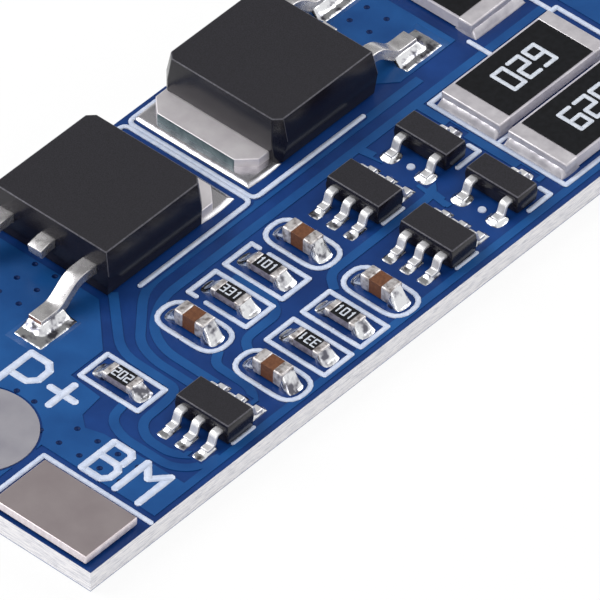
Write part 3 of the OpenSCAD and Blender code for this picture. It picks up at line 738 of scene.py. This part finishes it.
WALLS = []
for name in NODES:
    if SLOT_OF.get(name) in ("plated_cap", "tinned_frame") and not name.endswith("tab"):
        standing = (softened[name] if name in softened else NODES[name]).data
        WALLS += [wall_at(name, *solid) for solid in islands(standing)]
print("walls:", len(WALLS))


# %% Solder on every pad
def touches(pad, wall, slack=0.05 * MM):
    """Whether two boxes meet as seen from above."""
    return all(wall[0][k] < pad[1][k] + slack and wall[1][k] > pad[0][k] - slack for k in (0, 1))


bright, calm, dull, aprons = bmesh.new(), bmesh.new(), bmesh.new(), []
TABS = [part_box(name) for name in ("tab_bm", "tab_b_plus", "tab_b_minus")]
BODIES = [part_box(name) for name in NODES if name.startswith("mosfet") and name.endswith("body")]
for low, high, _ in islands(NODES["solder_pads"].data):
    low, high = low.copy(), high.copy()
    wide = max(high[:2] - low[:2]) / MM
    walls = [w for w in WALLS if touches((low, high), w[0])]
    inset = np.array((0.2, 0.2, 0)) * MM
    if any(touches((low, high), tab) for tab in TABS):    # pressed flat, and well under the tab
        joint(calm, (low + inset, high - inset), [], film=0.04, cell=0.4)
        continue
    under = [body for body in BODIES if touches((low, high), body)]
    if wide > 5 and under:                                # most of this pad is out of sight under the body
        joint(calm, (low + inset, high - inset), [], film=0.045, cell=0.8)
        if low[0] < under[0][0][0] - 0.5 * MM:
            high[0] = under[0][0][0] + 0.3 * MM
        else:
            low[0] = under[0][1][0] - 0.3 * MM
        joint(calm, (low, high), [], film=0.12, cell=0.04, round_off=0.02)
    elif wide > 3:
        joint(dull, (low, high), walls, film=0.07, cell=0.05, round_off=0.03)
    elif wide > 2:                                        # lacquer runs up to the joints of the big leads
        apron = 0.11 * MM * np.array((1, 1, 0))
        aprons.append((low - apron, high * (1, 1, 0) + apron + (0, 0, COPPER_TOP + 0.001 * MM)))
        inward = 0.15 * MM if low[0] + high[0] < 0 else -0.15 * MM
        low[0], high[0] = low[0] + inward, high[0] + inward
        joint(bright, (low, high), walls, film=0.07, cell=0.05, round_off=0.03)
    else:
        joint(bright, (low, high), walls, cell=0.045, round_off=0.2 if wide < 1 else 0.08)
apron_blocks = blocks("aprons", aprons, radius=0.005, segments=1)
as_piece("aprons_piece", apron_blocks, mask_light, slot="solder_mask")
JOINTS = (("solder_joints", bright, solder, ("solder_joints", "solder_pads")),
          ("tab_joints", calm, calm_solder, ()),
          ("resistor_joints", dull, dull_solder, ()))
for name, shape, material, nodes in JOINTS:
    mesh = bpy.data.meshes.new(name)
    shape.to_mesh(mesh)
    shape.free()
    mesh.shade_smooth()
    mesh.set_sharp_from_angle(angle=radians(60))
    as_piece(name + "_piece", mesh, material, *nodes, slot="solder")
    print(name, "triangles:", sum(len(f.vertices) - 2 for f in mesh.polygons))

# %% [markdown]
# ## Printed strokes
# Legends on a board are drawn with a pen of constant width. That is a path with a profile, which
# is what Geometry Nodes' Curve to Mesh does: it sweeps a flat strip along each stroke. Ink creeps
# under the screen, so a noise lets the width wander a little. An eight-sided disc on every corner
# and end closes the strokes, a hair lower than the strip, so that no two faces lie in one plane.


# %% A Geometry Nodes pen
def sockets(group, *inputs):
    """Gives a group its inputs, each a name, a kind and a value, and returns them as outputs to link."""
    group.interface.new_socket("Geometry", in_out="INPUT", socket_type="NodeSocketGeometry")
    for name, kind, value in inputs:
        group.interface.new_socket(name, in_out="INPUT", socket_type=kind).default_value = value
    group.interface.new_socket("Geometry", in_out="OUTPUT", socket_type="NodeSocketGeometry")
    return add(group, "NodeGroupInput").outputs


pen = bpy.data.node_groups.new("pen", "GeometryNodeTree")
given = sockets(pen, ("Width", "NodeSocketFloat", 0.4 * MM), ("Height", "NodeSocketFloat", 0.05 * MM),
                ("Creep", "NodeSocketFloat", 0.2), ("Ink", "NodeSocketMaterial", None))
fine = add(pen, "GeometryNodeResampleCurve", {"Curve": given["Geometry"], "Length": 0.07 * MM}, mode="LENGTH")
noise = add(pen, "ShaderNodeTexNoise", {"Scale": 1 / (0.16 * MM), "Detail": 2.0})
wander = add(pen, "ShaderNodeMath", {0: noise.outputs["Fac"], 1: 0.5}, operation="SUBTRACT")
factor = add(pen, "ShaderNodeMath", {0: wander.outputs[0], 1: given["Creep"], 2: 1.0},
             operation="MULTIPLY_ADD")
level = add(pen, "GeometryNodeSetCurveNormal", {"Curve": fine.outputs[0]}, mode="Z_UP")
nib = add(pen, "GeometryNodeCurvePrimitiveQuadrilateral", {"Width": given["Width"], "Height": given["Height"]})
strip = add(pen, "GeometryNodeCurveToMesh", {"Curve": level.outputs[0], "Profile Curve": nib.outputs[0],
                                             "Scale": factor.outputs[0], "Fill Caps": True})
reach = add(pen, "ShaderNodeMath", {0: given["Width"], 1: 0.53}, operation="MULTIPLY")
lower = add(pen, "ShaderNodeMath", {0: given["Height"], 1: 0.9}, operation="MULTIPLY")
disc = add(pen, "GeometryNodeMeshCylinder", {"Vertices": 8, "Radius": reach.outputs[0],
                                             "Depth": lower.outputs[0]})
ends = add(pen, "GeometryNodeInstanceOnPoints", {"Points": given["Geometry"], "Instance": disc.outputs["Mesh"],
                                                 "Rotation": (0, 0, radians(22.5))})
both = add(pen, "GeometryNodeJoinGeometry")
pen.links.new(strip.outputs[0], both.inputs[0])
pen.links.new(ends.outputs[0], both.inputs[0])
real = add(pen, "GeometryNodeRealizeInstances", {"Geometry": both.outputs[0]})
dressed = add(pen, "GeometryNodeSetMaterial", {"Geometry": real.outputs[0], "Material": given["Ink"]})
add(pen, "NodeGroupOutput", {"Geometry": dressed.outputs[0]})
print("pen nodes:", len(pen.nodes))


# %% Drawing with the pen
def with_nodes(name, source, group, **values):
    """The mesh that a Geometry Nodes group makes of an object's data."""
    maker = bpy.data.objects.new(name + "_source", source)
    bpy.context.collection.objects.link(maker)
    modifier = maker.modifiers.new("nodes", "NODES")
    modifier.node_group = group
    for item in group.interface.items_tree:
        if item.in_out == "INPUT" and item.name in values:
            modifier[item.identifier] = values[item.name]
    return evaluated(maker)


STAGGER = 0.0012                                      # millimetres between strokes that cross


def draw(name, paths, width, height, material):
    """Strokes along paths of points in metres, as one mesh."""
    curve = bpy.data.curves.new(name + "_paths", "CURVE")
    curve.dimensions = "3D"
    for k, pair in enumerate(pair for points in paths for pair in zip(points, points[1:])):
        spline = curve.splines.new("POLY")
        spline.points.add(1)
        for point, co in zip(spline.points, pair):
            point.co = (co.x, co.y, co.z - STAGGER * (k % 5) * MM, 1)
    return with_nodes(name, curve, pen, Width=width * MM, Height=height * MM, Ink=material)


print("pen ready")

# %% [markdown]
# ## Letters and numbers
# Each sign is a few strokes in a box one unit wide and one high. To place a word, its signs are
# given a place, a direction to read in, and a size.

# %% The signs
SIGNS = {
    "B": [[(0, 0), (0, 1), (0.74, 1), (0.9, 0.9), (0.9, 0.6), (0.8, 0.535), (0, 0.535)],
          [(0.8, 0.535), (1, 0.4), (1, 0.15), (0.8, 0), (0, 0)]],
    "M": [[(0, 0), (0, 1), (0.5, 0.65), (1, 1), (1, 0)]],
    "P": [[(0, 0), (0, 1), (0.74, 1), (0.98, 0.86), (1, 0.556), (0.74, 0.387), (0, 0.387)]],
    "+": [[(0.5, 0.2), (0.5, 0.88)], [(0, 0.565), (1, 0.565)]],
    "-": [[(0, 0.565), (1, 0.565)]],
    "0": [[(0, 0), (0, 1), (1, 1), (1, 0), (0, 0)]],
    "1": [[(0.3, 0.8), (0.6, 1), (0.6, 0)]],
    "2": [[(0, 1), (1, 1), (1, 0.5), (0, 0.5), (0, 0), (1, 0)]],
    "3": [[(0, 1), (1, 1), (1, 0), (0, 0)], [(1, 0.5), (0.25, 0.5)]],
    "6": [[(1, 1), (0, 1), (0, 0), (1, 0), (1, 0.5), (0, 0.5)]],
    "9": [[(0, 0), (1, 0), (1, 1), (0, 1), (0, 0.5), (1, 0.5)]],
}


def word(text, start, reading, width, height, gap, level):
    """Paths in metres for a word, from its lower left in board millimetres, read along an angle."""
    along = Vector((cos(radians(reading)), sin(radians(reading))))
    up = Vector((-along.y, along.x))
    found = []
    for i, sign in enumerate(text):
        for stroke in SIGNS[sign]:
            spots = [Vector(start) + along * (i * (width + gap) + u * width) + up * v * height
                     for u, v in stroke]
            found.append([on_board(spot.x, spot.y, (level - DECK) / MM) for spot in spots])
    return found


print("signs:", "".join(SIGNS))

# %% Legends beside the pads
LEVEL = (DECK + INK_TOP) / 2
INK_FILM = (INK_TOP - DECK) / MM
TAB_LETTER = (1.25, 1.95, 0.56)                       # width, height and gap in millimetres
PAD_LETTER = (1.3, 2.25, 0.63)
far = size.x
legends = word("BM", (4.22, 4.27), -90, *TAB_LETTER, LEVEL)
legends += word("P+", (5.55, 10.25), -90, *PAD_LETTER, LEVEL)
legends += word("B+", (4.22, 15.8), -90, *TAB_LETTER, LEVEL)
legends += word("B-", (far - 4.22, 1.2), 90, *TAB_LETTER, LEVEL)
legends += word("P-", (far - 5.55, 7.3), 90, *PAD_LETTER, LEVEL)
mesh = draw("legends", legends, width=0.34, height=INK_FILM, material=ink)
as_piece("legends_piece", mesh, ink, slot="print_ink")
print("strokes:", len(legends), "faces:", len(mesh.polygons))

# %% [markdown]
# Each part has its printed outline: a box round a resistor, a long oval round a capacitor, angles
# at the corners of the small circuits and lines along the power transistors. All of them follow
# the boxes of the parts that they belong to. A box may be open beside a via.


# %% Outlines round the parts
def middle(name):
    """The middle of a node in board millimetres, its half size, and its top in metres."""
    low, high = (np.array(corner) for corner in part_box(name))
    x, y, _ = ((low + high) / 2 - np.array(BOARD_LOW)) / MM
    return x, y, (high - low) / 2 / MM, high[2]


def curved(points, reach, steps=5):
    """A path whose corners are bent smoothly within a distance of reach."""
    points = [Vector(point) for point in points]
    found = [points[0]]
    for a, corner, b in zip(points, points[1:], points[2:]):
        start, end = (corner + min(reach, (p - corner).length * 0.5) * (p - corner).normalized()
                      for p in (a, b))
        for t in (k / steps for k in range(steps + 1)):
            found.append((1 - t) ** 2 * start + 2 * t * (1 - t) * corner + t * t * end)
    return found + [points[-1]]


def box_path(x, y, half_x, half_y, gap=None):
    """A closed box from the middle of its left side, or an open one with a gap at heights on that side."""
    low, high = gap or (0, 0)
    left, right, near, back = x - half_x, x + half_x, y - half_y, y + half_y
    return [(left, y + high), (left, back), (right, back), (right, near), (left, near), (left, y + low)]


def mirrored(points, x):
    """The points on the other side of a line across the board at x."""
    return [(2 * x - px, py) for px, py in points]


MARGIN = 0.1                                          # bare edge of the board beyond a line's end
lines, thin, dots = [], [], []
x, y, half, _ = middle("tab_bm")
side, back = x + half[0] + 0.5, y + half[1] + 0.5
corner = [(side, MARGIN), (side, back), (MARGIN, back)]
lines += [corner, mirrored(corner, size.x / 2)]
x, y, half, _ = middle("tab_b_plus")
lines.append([(MARGIN, y - half[1] - 0.4), (x + half[0] - 0.4, y - half[1] - 0.4)])
for i in range(1, 6):
    x, y, half, _ = middle(f"chip_resistor_{i}_ceramic")
    gap = (0.6, 1.15) if i in (2, 3) else None
    path = box_path(x, y, 0.84, half[1] + 0.79, gap)
    lines.append(mirrored(path, x) if i == 3 else path)
for i in range(1, 5):
    x, y, half, _ = middle(f"chip_capacitor_{i}_ceramic")
    lines.append(curved(box_path(x, y, 0.86, half[1] + 0.9), 0.84))
for name, turn in (("mosfet_1_body", 1), ("mosfet_2_body", -1)):
    x, y, half, _ = middle(name)
    front, wall = y - half[1] - 0.45, x + turn * (half[0] + 2.1)
    lines.append(curved([(x - turn * 1.65, front), (wall, front), (wall, size.y - 0.35),
                        (wall - turn * 1.8, size.y - 0.35)], 0.35))
for name in ("controller_1_body", "balancer_1_body", "balancer_2_body"):
    x, y, half, _ = middle(name)
    thin.append([(x - 0.5, y - half[1] - 0.02), (x + 0.75, y - half[1] - 0.02)])
for name in ("bleed_switch_1_body", "bleed_switch_2_body"):
    x, y, half, _ = middle(name)
    front = y - half[1] - 0.13
    lines.append([(x - 0.05, front), (x + 1.3, front), (x + 1.3, front + 0.55)])
    dots.append((x - 1.305, y - 0.1))
x, y, half, _ = middle("bleed_resistor_2_ceramic")
_, upper, _, _ = middle("bleed_resistor_1_ceramic")
left, right = x - half[0] - 0.42, x + half[0] + 0.9
low, high = y - half[1] - 0.33, upper + half[1] + 0.27
lines.append(box_path((left + right) / 2, (low + high) / 2, (right - left) / 2, (high - low) / 2))
thin.append([(left, (y + upper) / 2), (right, (y + upper) / 2)])
x, y, half, _ = middle("bleed_resistor_3_ceramic")
lines.append([(x - half[0] - 0.3, high), (x - half[0] - 0.3, high + 1.3)])
lines.append([(x - half[0] - 0.3, size.y - 0.2), (right - 0.3, size.y - 0.2), (right - 0.3, high)])


def inked(name, paths, width):
    """Lines in board millimetres, drawn in ink on the mask."""
    placed = [[on_board(px, py, (LEVEL - DECK) / MM) for px, py in path] for path in paths]
    return draw(name, placed, width, INK_FILM, ink)


as_piece("outlines_piece", inked("outlines", lines, width=0.225), ink, "legend_frames")
spots = bmesh.new()
for spot in dots:
    place = Matrix.Translation(on_board(*spot, (LEVEL - DECK) / MM))
    bmesh.ops.create_cone(spots, cap_ends=True, segments=24, radius1=0.19 * MM, radius2=0.17 * MM,
                          depth=INK_TOP - DECK, matrix=place)
mesh = bpy.data.meshes.new("dots")
spots.to_mesh(mesh)
spots.free()
as_piece("dots_piece", mesh, ink, slot="print_ink")
as_piece("fine_outlines_piece", inked("fine_outlines", thin, width=0.18), ink, slot="print_ink")
print("outlines:", len(lines) + len(thin))

# %% [markdown]
# Resistor values are three digits fired onto the glaze. They are generic codes for a resistance,
# with the last digit counting the zeros.

# %% Resistor numbers
code_ink = finish("fired_marking", "#CDD3DE", roughness=0.55)
patches(code_ink, ["#BAC1CE", "#DADFE8"], pattern(code_ink, 0.12))
relief(code_ink, 0.002, pattern(code_ink, 0.05))


def number(text, node, reading, width, height, gap):
    """A number centred on a node's top."""
    x, y, _, top = middle(node)
    along = Vector((cos(radians(reading)), sin(radians(reading))))
    up = Vector((-along.y, along.x))
    corner = Vector((x, y)) - along * (len(text) * (width + gap) - gap) / 2 - up * height / 2
    top = PAD_TOP + (top - PAD_TOP) * (FLATNESS if node.startswith("chip") else 1)
    return word(text, corner, reading, width, height, gap, top + 0.002 * MM)


small = []
for i, (text, reading) in enumerate([("202", -90), ("331", -90), ("101", -90), ("331", 90), ("101", -90)]):
    small += number(text, f"chip_resistor_{i + 1}_element", reading, width=0.2, height=0.44, gap=0.125)
large = []
for i, (text, reading) in enumerate([("029", 0), ("620", 0), ("620", 90)]):
    large += number(text, f"bleed_resistor_{i + 1}_element", reading, width=0.66, height=1.25, gap=0.34)
for name, strokes, pen_width, film in (("chip_numbers", small, 0.072, 0.012),
                                       ("bleed_numbers", large, 0.2, 0.014)):
    mesh = draw(name, strokes, pen_width, film, code_ink)
    as_piece(name + "_piece", mesh, code_ink, slot="print_ink")
print("numbers on resistors:", len(small) + len(large), "strokes")

# %% [markdown]
# ## Vias
# A via is a drilled and plated hole that joins the two copper sides. The mask runs over it and
# sinks a little, so each one shows as a dimple with a faint rim; its darkness is painted shade, a
# darker lacquer colour in the cup. They stand in grids, which is a job for Geometry Nodes: one
# small dimple, put on every point.

# %% One dimple, many points
dimples = bpy.data.node_groups.new("dimples", "GeometryNodeTree")
given = sockets(dimples, ("Cup", "NodeSocketObject", None), ("Finish", "NodeSocketMaterial", None))
cup_source = add(dimples, "GeometryNodeObjectInfo", {"Object": given["Cup"]})
put = add(dimples, "GeometryNodeInstanceOnPoints", {"Points": given["Geometry"],
                                                    "Instance": cup_source.outputs["Geometry"]})
real = add(dimples, "GeometryNodeRealizeInstances", {"Geometry": put.outputs[0]})
dressed = add(dimples, "GeometryNodeSetMaterial", {"Geometry": real.outputs[0], "Material": given["Finish"]})
add(dimples, "NodeGroupOutput", {"Geometry": dressed.outputs[0]})

# radius and height of the dimple's skin, from its middle to beyond its rim, in millimetres
OUTLINE = [(0.0, -0.03), (0.05, -0.028), (0.085, -0.016), (0.105, -0.004),
           (0.12, 0.001), (0.135, 0.001), (0.145, -0.004)]
AROUND = 20
turns = [2 * pi * k / AROUND for k in range(AROUND)]
cup = bmesh.new()
rings = [[cup.verts.new((r * cos(turn) * MM, r * sin(turn) * MM, z * MM)) for turn in turns]
         for r, z in OUTLINE[1:]]
bottom = cup.verts.new((0, 0, OUTLINE[0][1] * MM))
under = cup.verts.new((0, 0, -0.034 * MM))                # closes the skin from below
for k in range(AROUND):
    n = (k + 1) % AROUND
    cup.faces.new((bottom, rings[0][k], rings[0][n]))
    cup.faces.new((under, rings[-1][n], rings[-1][k]))
    for inner, outer in zip(rings, rings[1:]):
        cup.faces.new((inner[k], outer[k], outer[n], inner[n]))
cup_mesh = bpy.data.meshes.new("dimple")
cup.to_mesh(cup_mesh)
cup.free()
cup_mesh.shade_smooth()
cup_object = bpy.data.objects.new("dimple", cup_mesh)
bpy.context.collection.objects.link(cup_object)

GRID = 1.1
VIAS = [(4.65 + i * GRID, 2.6 + j * GRID) for i in range(2) for j in range(4)]
VIAS += [(4.7, 6.95), (5.75, 8.25), (5.75, 9.2), (5.75, 10.3)]
VIAS += [(9.6 + i * GRID, 12.6 + j * GRID) for i in range(3) for j in range(2)]
VIAS += [(x + i * GRID, 12.9 + j * GRID) for x in (31.8, far - 5.8) for i in range(2) for j in range(4)]
cloud = bpy.data.meshes.new("via_places")
cloud.from_pydata([on_board(x, y) + Vector((0, 0, COPPER_TOP - DECK)) for x, y in VIAS], [], [])
mesh = with_nodes("vias", cloud, dimples, Cup=cup_object, Finish=mask_dimple_painted_shade)
bpy.data.objects.remove(cup_object)
as_piece("vias_piece", mesh, mask_dimple_painted_shade, slot="solder_mask")
print("vias:", len(VIAS), "faces:", len(mesh.polygons))
